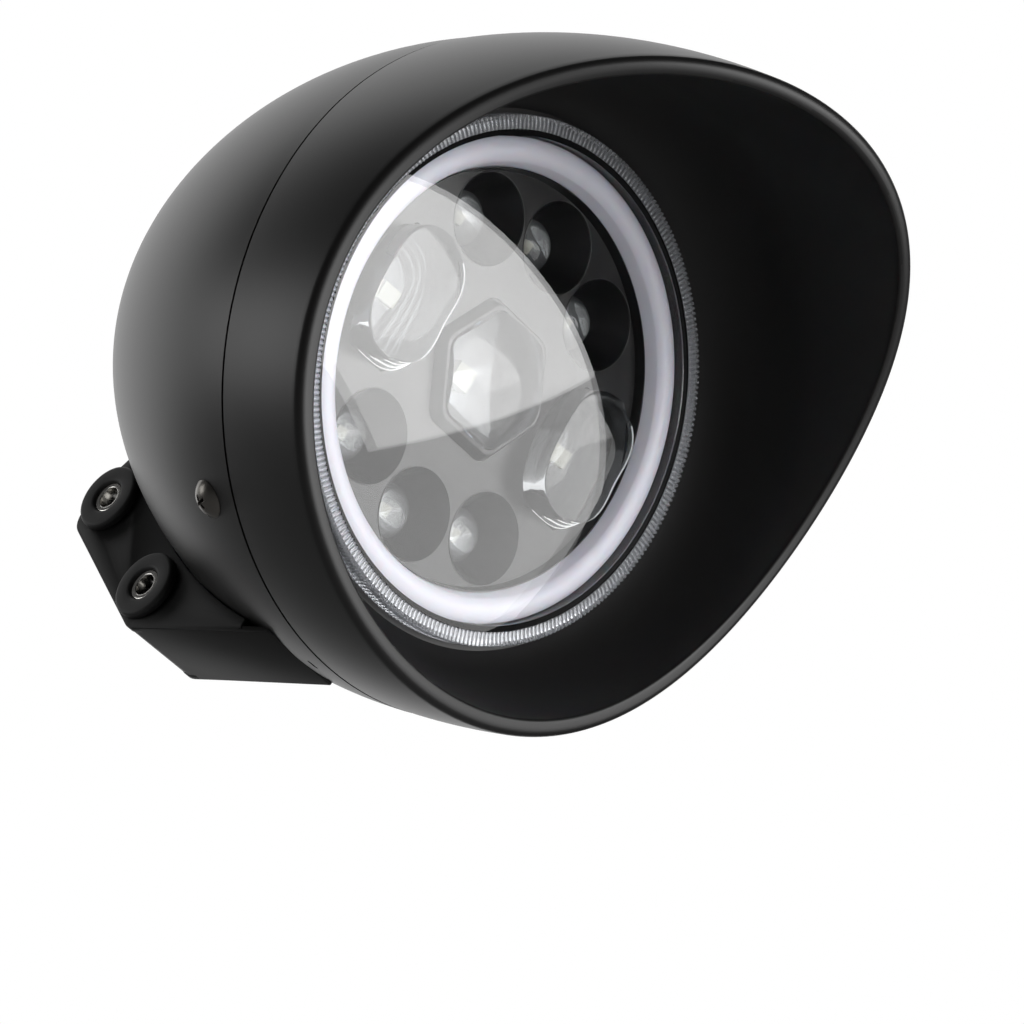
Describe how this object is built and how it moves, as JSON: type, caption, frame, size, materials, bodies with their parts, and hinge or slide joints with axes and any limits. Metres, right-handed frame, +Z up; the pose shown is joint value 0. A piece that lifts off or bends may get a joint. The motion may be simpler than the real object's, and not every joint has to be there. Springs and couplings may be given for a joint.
{
  "type": "motorcycle headlight",
  "caption": "Egg-shaped motorcycle headlight with a swept visor bezel, LED lamp unit with halo ring behind a clear dome, and an eared bracket with rubber-bushed bolt eyes.",
  "frame": {"origin": "on the axis of the front mounting bolt, half way between the bracket's ears", "axes": "-Y is the way the lamp shines, +Z is up, +X is the rider's left"},
  "size_m": [0.1902, 0.2206, 0.1932],
  "materials": {
    "housing_black": "satin black coating on a die-cast shell",
    "bracket_black": "satin black paint on sheet steel",
    "black_steel": "black oxide",
    "black_rubber": "matte moulded rubber",
    "bright_steel": "polished stainless steel",
    "zinc_steel": "zinc plated",
    "clear_cover": "clear polycarbonate with a hard coat",
    "clear_optic": "clear acrylic optic",
    "halo_white": "milky light guide",
    "mask_black": "satin black moulding",
    "cap_black": "matte black moulding",
    "board_white": "white solder mask",
    "board_green": "green solder mask",
    "led_yellow": "phosphor coated chips",
    "black_aluminium": "black anodised die casting"
  },
  "bodies": {
    "root": {"bracket_bolts": "black_steel", "bracket_nuts": "zinc_steel", "cable_gland": "black_rubber", "cable_grommet": "black_rubber", "centre_bezel": "mask_black", "centre_lens": "clear_optic", "clip_nuts": "zinc_steel", "driver_board": "board_green", "front_bezel": "housing_black", "grommet_front_left": "black_rubber", "grommet_front_right": "black_rubber", "grommet_rear_left": "black_rubber", "grommet_rear_right": "black_rubber", "halo_board": "board_white", "halo_leds": "led_yellow", "halo_ring": "halo_white", "heat_sink": "black_aluminium", "lamp_mask": "mask_black", "large_lens_left": "clear_optic", "large_lens_right": "clear_optic", "led_board": "board_white", "led_emitters": "led_yellow", "lens_gasket": "black_rubber", "mounting_bracket": "bracket_black", "outer_lens": "clear_cover", "rear_bucket": "housing_black", "rear_cap": "cap_black", "rear_cap_screws": "zinc_steel", "retainer_screws": "zinc_steel", "retaining_ring": "zinc_steel", "seam_seal": "black_rubber", "seat_gasket": "black_rubber", "side_screws": "bright_steel", "sleeve_front_left": "bright_steel", "sleeve_front_right": "bright_steel", "sleeve_rear_left": "bright_steel", "sleeve_rear_right": "bright_steel", "small_lens_1": "clear_optic", "small_lens_2": "clear_optic", "small_lens_3": "clear_optic", "small_lens_4": "clear_optic", "small_lens_5": "clear_optic", "small_lens_6": "clear_optic"}
  },
  "joints": []
}
